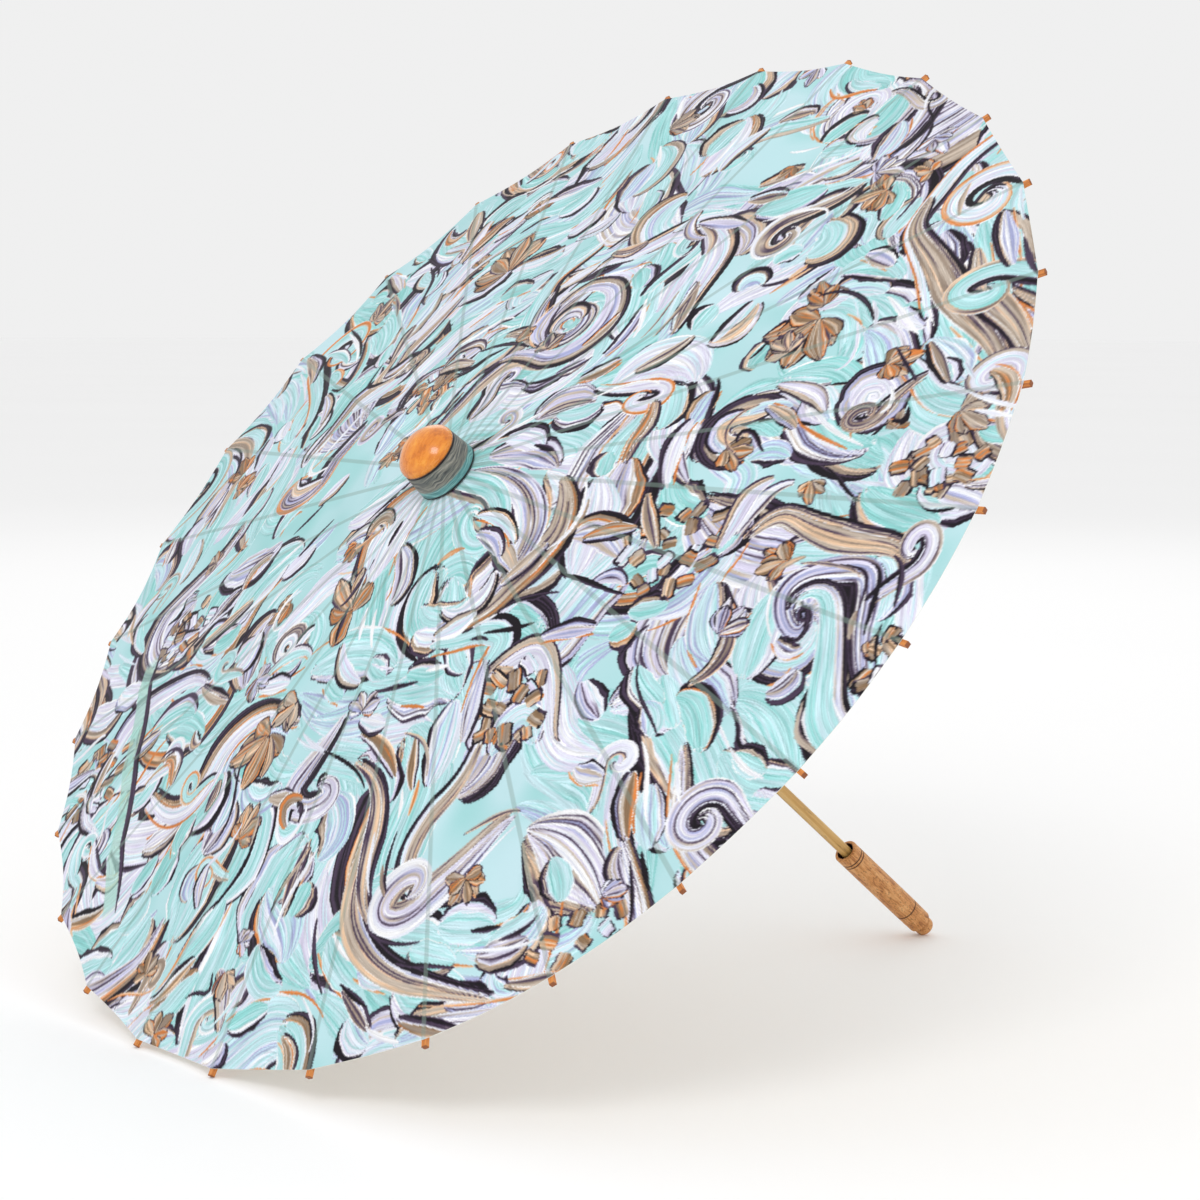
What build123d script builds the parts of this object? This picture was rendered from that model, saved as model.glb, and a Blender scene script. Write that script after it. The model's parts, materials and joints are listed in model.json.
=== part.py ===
"""Oil paper parasol, open and lying down: it rests on two rib tips and on the end of its handle.

Every piece is modelled upright in the pole's own frame, then moved to the resting pose as it is
written. Pole frame: +Z runs up the pole to the finial, and the origin is on the pole's axis, level
with the ring of rib hinges. Ribs are numbered round the pole from its lowest side, where x is -1.
Millimetres and degrees.
"""

import os
from math import acos, asin, atan2, cos, degrees, hypot, radians, sin, tan

from build123d import *

# Frame: 28 ribs, of which two pairs opposite each other are not made here
RIB_COUNT = 28
LEFT_OUT = (8, 21)
TIP_RADIUS = 410.0  # pole axis to the end of a rib, open
OPEN_ANGLE = 81.0  # between a rib and the pole below it
CLOSED_ANGLE = 3.0
PITCH = 360 / RIB_COUNT

# Rib
HINGE_RADIUS = 14.0
RIB_DEPTH = 4.0
RIB_TIP_DEPTH = 3.0
RIB_TAPER = 90.0  # length of the tapered stretch before the tip
RIB_WIDTH = 3.2
RIB_ROOT_WIDTH = 1.3
RIB_ROOT = 20.0  # length of the thin root, which turns in the top notch
RIB_SHOULDER = 70.0  # where the rib reaches its full width
KNEE_AT = 176.0  # hinge to knee, along the rib
KNEE_DROP = 4.2  # knee pivot below the rib's middle line
KNEE_WIDTH = 1.2
KNEE_RADIUS = 1.5
KNEE_BASE = 5.0

# Stretcher
STRETCHER_LENGTH = 192.0
STRETCHER_DEPTH = 3.2
STRETCHER_WIDTH = 2.2
STRETCHER_THIN = 1.1
THIN_LENGTH = 22.0  # thin end that enters the runner
THIN_TAPER = 50.0
FORK_LENGTH = 8.0
FORK_TAPER = 6.0
FORK_GAP = 1.5
PIN_RADIUS = 0.5
PIN_HOLE = 0.56

# Pole, hubs and wire
POLE_RADIUS = 4.2
GLUE_GAP = 0.05
SLIDING_GAP = 0.08
WIRE_RADIUS = 0.45
WIRE_HOLE = 0.53
NOTCH_RADIUS = 17.0
NOTCH_TOP = 2.1
NOTCH_BOTTOM = -4.5
NOTCH_NECK_RADIUS = 9.0
NOTCH_NECK = -14.0
NOTCH_SLOT = 1.6
NOTCH_CORE = 11.4
RUNNER_PIVOT_RADIUS = 12.0
RUNNER_RADIUS = 15.0
RUNNER_SLOT = 1.4
RUNNER_CORE = 9.9
RUNNER_ABOVE = 4.5  # slotted disc above its ring of pivots
RUNNER_BELOW = 4.0
SLEEVE_RADIUS = 9.3
SLEEVE_LENGTH = 30.0
BEAD = 2.5

# Paper
PAPER = 0.3
PAPER_CLEARANCE = 0.3
STUB = 4.0  # rib beyond the paper's edge
PAPER_TOP_RADIUS = 19.0

# Collar and finial
COLLAR_BOTTOM = 2.4
COLLAR_HEIGHT = 19.0
COLLAR_BASE_RADIUS = 22.6
COLLAR_TOP_RADIUS = 21.0
SEAM = 0.3
DOME_RADIUS = 21.0
DOME_HEIGHT = 15.0
DOME_EDGE = 1.2
DOME_SHOULDER = 7.0
DOME_BORE = 8.5

# Handle, measured down from its mouth
MOUTH_BELOW_TIPS = 391.5
HANDLE_LENGTH = 108.5
HANDLE_RADIUS = 9.2
MOUTH_RADIUS = 6.7
MOUTH_DEPTH = 9.0
SOCKET_DEPTH = 62.0
GROOVE = 0.55
GROOVES = (7.6, 10.4, 79.0)
SHOULDER_AT = 97.6
NECK_AT = 99.8
NECK_RADIUS = 6.2
KNOB_RADIUS = 7.2
KNOB_ROUND = 4.2

# Linkage: a rib, its stretcher and the runner, in the rib's own upright plane (radius, height)
RIB_LENGTH = (TIP_RADIUS - HINGE_RADIUS) / sin(radians(OPEN_ANGLE))
KNEE_REACH = hypot(KNEE_AT, KNEE_DROP)
KNEE_LEAN = degrees(atan2(KNEE_DROP, KNEE_AT))


def linkage(rib_angle):
    """Knee radius and height, stretcher angle from the pole, and height of the runner's pivots."""
    knee = radians(rib_angle - KNEE_LEAN)
    knee_radius = HINGE_RADIUS + KNEE_REACH * sin(knee)
    knee_height = -KNEE_REACH * cos(knee)
    lean = asin((knee_radius - RUNNER_PIVOT_RADIUS) / STRETCHER_LENGTH)
    return knee_radius, knee_height, degrees(lean), knee_height - STRETCHER_LENGTH * cos(lean)


KNEE_RADIAL, KNEE_HEIGHT, LEAN_OPEN, RUNNER_Z = linkage(OPEN_ANGLE)
LEAN_CLOSED, RUNNER_CLOSED_Z = linkage(CLOSED_ANGLE)[2:]
TRAVEL = RUNNER_Z - RUNNER_CLOSED_Z
RIB_SWING = OPEN_ANGLE - CLOSED_ANGLE
STRETCHER_SWING = RIB_SWING + LEAN_OPEN - LEAN_CLOSED

# Heights along the pole
TIPS_Z = -RIB_LENGTH * cos(radians(OPEN_ANGLE))
COLLAR_TOP = COLLAR_BOTTOM + COLLAR_HEIGHT
DOME_BOTTOM = COLLAR_TOP + SEAM
MOUTH_Z = TIPS_Z - MOUTH_BELOW_TIPS
END_Z = MOUTH_Z - HANDLE_LENGTH

# Resting pose: the floor touches the lower corner of the two lowest tips and the handle's rounded end
TIP_LOW = RIB_TIP_DEPTH - RIB_DEPTH / 2
TIP_OUT = TIP_RADIUS - TIP_LOW * cos(radians(OPEN_ANGLE))
TIP_X = -TIP_OUT * cos(radians(PITCH / 2)) - RIB_WIDTH / 2 * sin(radians(PITCH / 2))
TIP_Z = TIPS_Z - TIP_LOW * sin(radians(OPEN_ANGLE))
ROUND_X = KNOB_ROUND - KNOB_RADIUS
ROUND_Z = END_Z + KNOB_ROUND
REACH = hypot(ROUND_X - TIP_X, ROUND_Z - TIP_Z)
POLE_SLOPE = atan2(ROUND_Z - TIP_Z, ROUND_X - TIP_X) + acos(KNOB_ROUND / REACH)
LIFT = -(TIP_X * cos(POLE_SLOPE) + TIP_Z * sin(POLE_SLOPE))

# The row's origin is under the middle of the whole part's box, so the pole is shifted along X
TIP_TOP_RADIUS = TIP_RADIUS + RIB_DEPTH / 2 * cos(radians(OPEN_ANGLE))
TIP_TOP_X = -TIP_TOP_RADIUS * cos(radians(PITCH / 2)) - RIB_WIDTH / 2 * sin(radians(PITCH / 2))
TIP_TOP_Z = TIPS_Z + RIB_DEPTH / 2 * sin(radians(OPEN_ANGLE))
LOW_X = TIP_TOP_X * sin(POLE_SLOPE) - TIP_TOP_Z * cos(POLE_SLOPE)
HIGH_X = -ROUND_X * sin(POLE_SLOPE) - ROUND_Z * cos(POLE_SLOPE) + KNOB_ROUND
SHIFT = -(LOW_X + HIGH_X) / 2
REST = Location((SHIFT, 0, LIFT), (0, degrees(POLE_SLOPE) - 90, 0))


# Paper surface
SLOPE = 1 / tan(radians(OPEN_ANGLE))
PAPER_RIM_RADIUS = HINGE_RADIUS + (RIB_LENGTH - STUB) * sin(radians(OPEN_ANGLE))
PAPER_STEP = PAPER / sin(radians(OPEN_ANGLE))


def paper_height(radius, above):
    """Height of a sheet over the ribs' line, this far above the ribs' middle."""
    return above / sin(radians(OPEN_ANGLE)) - (radius - HINGE_RADIUS) * SLOPE


UNDERSIDE = RIB_DEPTH / 2 + PAPER_CLEARANCE
TOP_Z = paper_height(PAPER_TOP_RADIUS, UNDERSIDE + PAPER)
RIM_Z = paper_height(PAPER_RIM_RADIUS, UNDERSIDE + PAPER)


def azimuth(number):
    """Direction of a rib round the pole."""
    return 180 + (number - 0.5) * PITCH


def write(shape, name):
    """Move a finished piece to the resting pose and write it as one STEP file."""
    piece = shape.moved(REST)
    piece.label = name
    export_step(piece, f"parts/{name}.step")


def side_plane(radius, height, angle):
    """Upright plane through the pole: x runs at this angle from straight down, z across the rib."""
    direction = (sin(radians(angle)), 0, -cos(radians(angle)))
    return Plane(origin=(radius, 0, height), x_dir=direction, z_dir=(0, -1, 0))


def top_plane(side):
    """Plane along the same stick, seen from the paper's side: y runs across the stick."""
    return Plane(origin=side.origin, x_dir=side.x_dir, z_dir=side.y_dir)


def plan(stations):
    """Closed outline of a stick seen from above, from (distance, width) stations."""
    edge = [(along, width / 2) for along, width in stations]
    return edge + [(along, -half) for along, half in reversed(edge)]


os.makedirs("parts", exist_ok=True)

# Pole
with BuildPart() as pole:
    with BuildSketch(Plane.XY.offset(MOUTH_Z - SOCKET_DEPTH + SEAM)):
        Circle(POLE_RADIUS)
    extrude(amount=DOME_BOTTOM + DOME_BORE - SEAM - (MOUTH_Z - SOCKET_DEPTH + SEAM))
    chamfer(pole.edges().filter_by(GeomType.CIRCLE), length=0.4)
write(pole.part, "pole")

# Handle: turned outside, hollow at the mouth, with a socket for the pole
outline = [(0, MOUTH_Z), (HANDLE_RADIUS - 0.8, MOUTH_Z), (HANDLE_RADIUS, MOUTH_Z - 0.8)]
for groove in GROOVES:
    outline += [
        (HANDLE_RADIUS, MOUTH_Z - groove + GROOVE),
        (HANDLE_RADIUS - GROOVE, MOUTH_Z - groove),
        (HANDLE_RADIUS, MOUTH_Z - groove - GROOVE),
    ]
outline += [
    (HANDLE_RADIUS - 0.3, MOUTH_Z - SHOULDER_AT),
    (NECK_RADIUS, MOUTH_Z - NECK_AT),
    (KNOB_RADIUS, MOUTH_Z - NECK_AT - 1.2),
    (KNOB_RADIUS, ROUND_Z),
]
with BuildPart() as handle:
    with BuildSketch(Plane.XZ):
        with BuildLine():
            Polyline(*outline)
            RadiusArc((KNOB_RADIUS, ROUND_Z), (KNOB_RADIUS - KNOB_ROUND, END_Z), KNOB_ROUND)
            Polyline((KNOB_RADIUS - KNOB_ROUND, END_Z), (0, END_Z), (0, MOUTH_Z))
        make_face()
    revolve(axis=Axis.Z)
    with BuildSketch(Plane.XY.offset(MOUTH_Z)):
        Circle(MOUTH_RADIUS)
    extrude(amount=-MOUTH_DEPTH, mode=Mode.SUBTRACT)
    with BuildSketch(Plane.XY.offset(MOUTH_Z)):
        Circle(POLE_RADIUS + GLUE_GAP)
    extrude(amount=-SOCKET_DEPTH, mode=Mode.SUBTRACT)
write(handle.part, "handle")

# Top notch: a turned hub with one through slot for each rib and a tunnel for the hinge wire
with BuildPart() as top_notch:
    with BuildSketch(Plane.XY.offset(NOTCH_TOP)):
        Circle(NOTCH_RADIUS)
    extrude(amount=NOTCH_BOTTOM - NOTCH_TOP)
    with BuildSketch(Plane.XY.offset(NOTCH_BOTTOM)):
        Circle(NOTCH_NECK_RADIUS)
    extrude(amount=NOTCH_NECK - NOTCH_BOTTOM)
    chamfer(top_notch.edges().group_by(Axis.Z)[0], length=1.5)
    with BuildSketch(Plane.XY.offset(NOTCH_TOP)):
        middle = (NOTCH_CORE + NOTCH_RADIUS + 1) / 2
        with PolarLocations(middle, RIB_COUNT, start_angle=PITCH / 2):
            Rectangle(NOTCH_RADIUS + 1 - NOTCH_CORE, NOTCH_SLOT)
    extrude(amount=NOTCH_BOTTOM - NOTCH_TOP, mode=Mode.SUBTRACT)
    Torus(HINGE_RADIUS, WIRE_HOLE, mode=Mode.SUBTRACT)
    with BuildSketch(Plane.XY.offset(NOTCH_TOP)):
        Circle(POLE_RADIUS + GLUE_GAP)
    extrude(amount=NOTCH_NECK - NOTCH_TOP, mode=Mode.SUBTRACT)
write(top_notch.part, "top_notch")

# Hinge wire: one ring through every rib and every tooth of the top notch
with BuildPart() as rib_wire:
    Torus(HINGE_RADIUS, WIRE_RADIUS)
write(rib_wire.part, "rib_wire")

# Collar: the wrapped block between the paper and the finial
with BuildPart() as cap_collar:
    with BuildSketch(Plane.XZ):
        with BuildLine():
            Polyline(
                (POLE_RADIUS + GLUE_GAP, COLLAR_BOTTOM),
                (COLLAR_BASE_RADIUS, COLLAR_BOTTOM),
                (COLLAR_TOP_RADIUS, COLLAR_TOP),
                (POLE_RADIUS + GLUE_GAP, COLLAR_TOP),
                close=True,
            )
        make_face()
    revolve(axis=Axis.Z)
write(cap_collar.part, "cap_collar")

# Finial: a varnished wooden dome with a rounded shoulder and a blind bore for the top of the pole
shoulder_z = DOME_BOTTOM + DOME_EDGE
inset = DOME_RADIUS - DOME_SHOULDER
rise = DOME_HEIGHT - DOME_EDGE
crown = (inset**2 + rise**2 - DOME_SHOULDER**2) / (2 * (rise - DOME_SHOULDER))
crown_z = shoulder_z + rise - crown
reach = crown / (crown - DOME_SHOULDER)
meeting = (inset * reach, crown_z + (shoulder_z - crown_z) * reach)
with BuildPart() as finial:
    with BuildSketch(Plane.XZ):
        with BuildLine():
            Polyline((0, DOME_BOTTOM), (DOME_RADIUS, DOME_BOTTOM), (DOME_RADIUS, shoulder_z))
            RadiusArc((DOME_RADIUS, shoulder_z), meeting, -DOME_SHOULDER)
            RadiusArc(meeting, (0, shoulder_z + rise), -crown)
            Line((0, shoulder_z + rise), (0, DOME_BOTTOM))
        make_face()
    revolve(axis=Axis.Z)
    with BuildSketch(Plane.XY.offset(DOME_BOTTOM)):
        Circle(POLE_RADIUS + GLUE_GAP)
    extrude(amount=DOME_BORE, mode=Mode.SUBTRACT)
write(finial.part, "finial")

# Runner: slotted disc that carries the stretchers, on a sleeve that slides along the pole
with BuildPart() as runner:
    with BuildSketch(Plane.XY.offset(RUNNER_Z + RUNNER_ABOVE)):
        Circle(RUNNER_RADIUS)
    extrude(amount=-RUNNER_ABOVE - RUNNER_BELOW)
    with BuildSketch(Plane.XY.offset(RUNNER_Z - RUNNER_BELOW)):
        Circle(SLEEVE_RADIUS)
    extrude(amount=-SLEEVE_LENGTH)
    with BuildSketch(Plane.XY.offset(RUNNER_Z - RUNNER_BELOW - SLEEVE_LENGTH + BEAD)):
        Circle(SLEEVE_RADIUS + 1.2)
    extrude(amount=-BEAD)
    chamfer(runner.edges().group_by(Axis.Z)[0], length=0.6)
    with BuildSketch(Plane.XY.offset(RUNNER_Z + RUNNER_ABOVE)):
        middle = (RUNNER_CORE + RUNNER_RADIUS + 1) / 2
        with PolarLocations(middle, RIB_COUNT, start_angle=PITCH / 2):
            Rectangle(RUNNER_RADIUS + 1 - RUNNER_CORE, RUNNER_SLOT)
    extrude(amount=-RUNNER_ABOVE - RUNNER_BELOW, mode=Mode.SUBTRACT)
    with BuildSketch(Plane.XY.offset(RUNNER_Z + RUNNER_ABOVE)):
        Circle(POLE_RADIUS + SLIDING_GAP)
    extrude(amount=-RUNNER_ABOVE - RUNNER_BELOW - SLEEVE_LENGTH, mode=Mode.SUBTRACT)
write(runner.part, "runner")

# Canopy: a shallow pyramid of paper, one flat gore between each two ribs, clear above the ribs
with BuildPart() as canopy:
    for drop, mode in ((0, Mode.ADD), (PAPER_STEP, Mode.SUBTRACT)):
        if drop:
            with BuildSketch(Plane.XY.offset(RIM_Z)):
                RegularPolygon(PAPER_RIM_RADIUS, RIB_COUNT, rotation=PITCH / 2)
            extrude(amount=-drop)
        with BuildSketch(Plane.XY.offset(TOP_Z - drop)):
            RegularPolygon(PAPER_TOP_RADIUS, RIB_COUNT, rotation=PITCH / 2)
        with BuildSketch(Plane.XY.offset(RIM_Z - drop)):
            RegularPolygon(PAPER_RIM_RADIUS, RIB_COUNT, rotation=PITCH / 2)
        loft(ruled=True, mode=mode)
    with BuildSketch(Plane.XY.offset(TOP_Z)):
        RegularPolygon(PAPER_TOP_RADIUS, RIB_COUNT, rotation=PITCH / 2)
    extrude(amount=-PAPER_STEP, mode=Mode.SUBTRACT)
write(canopy.part, "canopy")

# Rib: split bamboo, thin at the notch, with a tongue below it at the knee
rib_side = side_plane(HINGE_RADIUS, 0, OPEN_ANGLE)
half = RIB_DEPTH / 2
with BuildPart() as rib:
    with BuildSketch(rib_side):
        with BuildLine():
            Polyline(
                (0, half),
                (RIB_LENGTH, half),
                (RIB_LENGTH, half - RIB_TIP_DEPTH),
                (RIB_LENGTH - RIB_TAPER, -half),
                (0, -half),
            )
            ThreePointArc((0, -half), (-half, 0), (0, half))
        make_face()
    extrude(amount=RIB_WIDTH / 2, both=True)
    with BuildSketch(top_plane(rib_side)):
        stations = [
            (-RIB_DEPTH, RIB_ROOT_WIDTH),
            (RIB_ROOT, RIB_ROOT_WIDTH),
            (RIB_SHOULDER, RIB_WIDTH),
            (RIB_LENGTH + 1, RIB_WIDTH),
        ]
        with BuildLine():
            Polyline(*plan(stations), close=True)
        make_face()
    extrude(amount=RIB_DEPTH, both=True, mode=Mode.INTERSECT)
    with BuildSketch(rib_side):
        with Locations((KNEE_AT, -KNEE_DROP)):
            Circle(KNEE_RADIUS)
        with Locations((KNEE_AT, -half)):
            Rectangle(KNEE_BASE, 0.4)
        make_hull()
    extrude(amount=KNEE_WIDTH / 2, both=True)
    with BuildSketch(rib_side):
        Circle(WIRE_HOLE)
        with Locations((KNEE_AT, -KNEE_DROP)):
            Circle(PIN_HOLE)
    extrude(amount=RIB_WIDTH, both=True, mode=Mode.SUBTRACT)

# Stretcher: thin at the runner, forked round the rib's tongue at the knee
stretcher_side = side_plane(KNEE_RADIAL, KNEE_HEIGHT, -LEAN_OPEN)
half = STRETCHER_DEPTH / 2
with BuildPart() as stretcher:
    with BuildSketch(stretcher_side):
        with Locations((STRETCHER_LENGTH / 2, 0)):
            SlotCenterToCenter(STRETCHER_LENGTH, STRETCHER_DEPTH)
    extrude(amount=RIB_WIDTH / 2, both=True)
    with BuildSketch(top_plane(stretcher_side)):
        stations = [
            (-STRETCHER_DEPTH, RIB_WIDTH),
            (FORK_LENGTH, RIB_WIDTH),
            (FORK_LENGTH + FORK_TAPER, STRETCHER_WIDTH),
            (STRETCHER_LENGTH - THIN_TAPER, STRETCHER_WIDTH),
            (STRETCHER_LENGTH - THIN_LENGTH, STRETCHER_THIN),
            (STRETCHER_LENGTH + STRETCHER_DEPTH, STRETCHER_THIN),
        ]
        with BuildLine():
            Polyline(*plan(stations), close=True)
        make_face()
    extrude(amount=STRETCHER_DEPTH, both=True, mode=Mode.INTERSECT)
    with BuildSketch(top_plane(stretcher_side)):
        with Locations(((FORK_LENGTH - 3 - STRETCHER_DEPTH) / 2, 0)):
            Rectangle(FORK_LENGTH - 3 + STRETCHER_DEPTH, FORK_GAP)
    extrude(amount=STRETCHER_DEPTH, both=True, mode=Mode.SUBTRACT)
    with BuildSketch(stretcher_side):
        Circle(PIN_RADIUS)
    extrude(amount=RIB_WIDTH, both=True, mode=Mode.SUBTRACT)

# Knee pin, held in the stretcher's fork
with BuildPart() as knee_pin:
    with BuildSketch(stretcher_side):
        Circle(PIN_RADIUS)
    extrude(amount=RIB_WIDTH / 2, both=True)

for number in range(1, RIB_COUNT + 1):
    if number in LEFT_OUT:
        continue
    turn = Location((0, 0, 0), (0, 0, azimuth(number)))
    write(rib.part.moved(turn), f"rib_{number:02d}")
    pair = Compound(children=[stretcher.part.moved(turn), knee_pin.part.moved(turn)])
    write(pair, f"stretcher_{number:02d}")

print(f"pole slope {degrees(POLE_SLOPE):.3f} deg, shift {SHIFT:.3f}, lift {LIFT:.3f}")
print(f"runner at {RUNNER_Z:.3f}, travel {TRAVEL:.3f}")
print(f"rib swing {RIB_SWING:.3f}, stretcher swing {STRETCHER_SWING:.3f}")
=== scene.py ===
"""Looks of the oil paper parasol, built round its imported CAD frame.

Pole frame: +Z runs up the pole to the finial, and the origin is on the pole's axis, level with the
ring of rib hinges. Ribs are numbered round the pole from its lowest side. Metres and radians,
except on the painted canvas, which is laid out in millimetres.
"""

import json
import math

import bpy
import numpy as np
from mathutils import Matrix, Vector


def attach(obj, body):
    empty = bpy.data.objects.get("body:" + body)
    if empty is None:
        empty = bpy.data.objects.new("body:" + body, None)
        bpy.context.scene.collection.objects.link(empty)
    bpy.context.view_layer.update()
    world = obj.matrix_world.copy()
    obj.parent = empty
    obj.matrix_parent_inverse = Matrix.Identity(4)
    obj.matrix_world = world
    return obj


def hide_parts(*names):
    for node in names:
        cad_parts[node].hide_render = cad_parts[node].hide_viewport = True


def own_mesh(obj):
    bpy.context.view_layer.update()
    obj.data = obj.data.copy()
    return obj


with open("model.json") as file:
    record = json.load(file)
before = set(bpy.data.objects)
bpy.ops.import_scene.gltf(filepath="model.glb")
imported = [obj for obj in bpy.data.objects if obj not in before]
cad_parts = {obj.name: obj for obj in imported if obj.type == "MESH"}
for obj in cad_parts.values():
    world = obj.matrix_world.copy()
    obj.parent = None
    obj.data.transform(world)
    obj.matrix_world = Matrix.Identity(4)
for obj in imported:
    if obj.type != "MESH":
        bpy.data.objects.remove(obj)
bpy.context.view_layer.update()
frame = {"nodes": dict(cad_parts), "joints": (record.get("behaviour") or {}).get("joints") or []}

# Frame
RIB_COUNT = 28
PITCH = 2 * math.pi / RIB_COUNT
NEIGHBOUR = {8: 7, 21: 22}  # ribs that have no body of their own ride with the next one
TIP_RADIUS = 0.410
HINGE_RADIUS = 0.014
OPEN = math.radians(81)  # between a rib and the pole below it
RIB_LENGTH = (TIP_RADIUS - HINGE_RADIUS) / math.sin(OPEN)

# Paper
PAPER = 0.0003
UNDERSIDE = 0.0023  # over the middle of a rib
STUB = 0.004  # rib beyond the paper's edge
PAPER_TOP_RADIUS = 0.0192
PAPER_RIM_RADIUS = HINGE_RADIUS + (RIB_LENGTH - STUB) * math.sin(OPEN)
ROWS, COLUMNS = 440, 100  # faces of a gore's printed top
COARSE = 20  # of those faces to one of the underside
SAG = 0.0026  # of a panel's middle, at the rim
SAGS = 0.7, 1.25  # panels vary between these shares of the sag
SAG_SEED = 3
RIM_DRAWN_IN = 0.0007  # between two ribs
SHARP = math.radians(40)

# Threads: one from rib to rib under the paper, one round the runner
RIB_RING_RADIUS = 0.300
RIB_RING_LEVEL = -0.0026  # below the middle of a rib
RIB_RING_DIP = 0.0012  # between two ribs
RIB_THREAD = 0.00035
RUNNER_RING_RADIUS = 0.012
RUNNER_RING_DROP = 0.0045  # below the runner's top
RUNNER_THREAD = 0.0004

# Turned and painted trim, as heights up from a piece's lower end
HANDLE_RINGS = (0.1009, 0.0981, 0.0295)
HANDLE_CHAMFER = 0.0098
MOUTH_RADIUS = 0.0067
MOUTH_FLOOR = (0.0980, 0.0990)
COLLAR_HEIGHT = 0.019
COLLAR_TEAL = (0.0070, 0.0088)

# Each piece's grain is moved along by these, times its number, so that no two look the same
RIB_SHIFT, STRETCHER_SHIFT = 0.31, 0.47

# Studio
FLOOR = 40.0  # half the floor's width
LIGHT_AIM = (0, 0, 0.3)
WORLD_STRENGTH = 0.87
CAMERA_AT = (-1.22392, -1.57349, 0.46216)
CAMERA_AHEAD = (0.61375, 0.78359, -0.09644)
CAMERA_UP = (0.05390, 0.08028, 0.99531)
CAMERA_LENS = 89.08

joints = {j["name"]: j for j in frame["joints"]}


def hinge(number):
    """Where a rib turns, in the row frame."""
    return np.array(joints[f"rib_{number:02d}_fold"]["pos_m"])


HUB = (hinge(1) + hinge(1 + RIB_COUNT // 2)) / 2
UP = -np.array(joints["runner_slide"]["axis"])
UP /= np.linalg.norm(UP)
EAST = np.array([UP[2], 0, -UP[0]])
NORTH = np.array([0.0, 1.0, 0.0])


def azimuth(number):
    return math.pi + (number - 0.5) * PITCH


def place(points):
    """Points of the pole frame, in the row frame."""
    points = np.asarray(points, float)
    return HUB + points[..., :1] * EAST + points[..., 1:2] * NORTH + points[..., 2:] * UP


def radial(angle):
    return math.cos(angle) * EAST + math.sin(angle) * NORTH


def turned(along, sideways, angle):
    """x and y of a place that is given along and beside a ray at an angle."""
    x = along * math.cos(angle) - sideways * math.sin(angle)
    y = along * math.sin(angle) + sideways * math.cos(angle)
    return x, y


def paper_height(radius, above):
    """Height at a radius of a cone that lies above the middle lines of the ribs."""
    return above / math.sin(OPEN) - (radius - HINGE_RADIUS) / math.tan(OPEN)


def body_number(number):
    """Number of the body that a rib's pieces ride with."""
    return NEIGHBOUR.get(number, number)


def fold_with_rib(obj, number, body=None):
    """obj rides with a rib or another body, with a mesh of its own."""
    rib = body_number(number)
    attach(obj, body or f"rib_{rib:02d}")
    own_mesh(obj)


# Painted canvas: a pixel holds red, green and blue, then its place along and across its brush stroke in
# millimetres, then that stroke's own number
EXTENT = 412.0  # half the canvas's width in millimetres
CANVAS = 1320
MM = CANVAS / (2 * EXTENT)  # canvas pixels in a millimetre
BRISTLE = 1.15  # millimetres
ALONG_STEP, ACROSS_STEP = 0.62, 0.65  # canvas pixels between the points of a stroke
KNOT = 16  # millimetres that a bristle runs before it may change colour
FLOW_CENTRES = 80
SCROLL_LIMIT = 36  # largest scroll or flower head
LEAF_SIZES = (50, 38, 29, 21, 14)
PRINT_SEED = 21

# Strip where two widths of the paper overlap, in metres and radians of the pole frame
LAP_FACES = math.radians(125.8)
LAP_AT = 0.322  # pole axis to the strip's middle line
LAP_ALONG = 0.066  # from the nearest point of that line to the strip's middle
LAP_WIDTH = 0.014
LAP_REACH = 0.118  # half the strip's length
LAP_EDGE, LAP_FADE = 0.0012, 0.012  # widths of the slopes at its long sides and at its ends
LAP_GREEN = (0.66, 0.84, 0.79)

NIGHT = (0.08, 0.05, 0.09)
PLUM = (0.28, 0.22, 0.31)
TAUPE = (0.61, 0.54, 0.48)
GREIGE = (0.78, 0.72, 0.66)
BARK = (0.55, 0.44, 0.33)
PEACH = (0.92, 0.78, 0.65)
ORANGE = (0.84, 0.50, 0.25)
VIOLET = (0.66, 0.68, 0.84)
LAVENDER = (0.84, 0.82, 0.91)
MIST = (0.90, 0.91, 0.96)
WHITE = (0.97, 0.97, 0.98)
AQUA = (0.69, 0.87, 0.88)
TEAL = (0.56, 0.82, 0.81)
PALE = (0.79, 0.91, 0.94)

# Each bristle of a stroke takes one of its palette's colours
PALETTES = {
    "water": [AQUA, AQUA, PALE, TEAL, AQUA, PALE],
    "pool": [TEAL, AQUA, TEAL, AQUA],
    "sky": [PALE, MIST, PALE, AQUA, VIOLET],
    "foam": [WHITE, MIST, LAVENDER, PALE, MIST, LAVENDER],
    "shell": [LAVENDER, MIST, VIOLET, WHITE, GREIGE, PLUM, LAVENDER],
    "stone": [TAUPE, GREIGE, PLUM, PEACH, GREIGE, TAUPE, GREIGE],
    "ember": [ORANGE, BARK, TAUPE, GREIGE, PEACH, BARK],
    "block": [BARK, TAUPE, GREIGE, PEACH, TAUPE, ORANGE, BARK],
    "night": [NIGHT, NIGHT, PLUM, NIGHT, PLUM],
    "light": [WHITE, WHITE, MIST],
    "rust": [ORANGE, PEACH, ORANGE],
}

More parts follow.
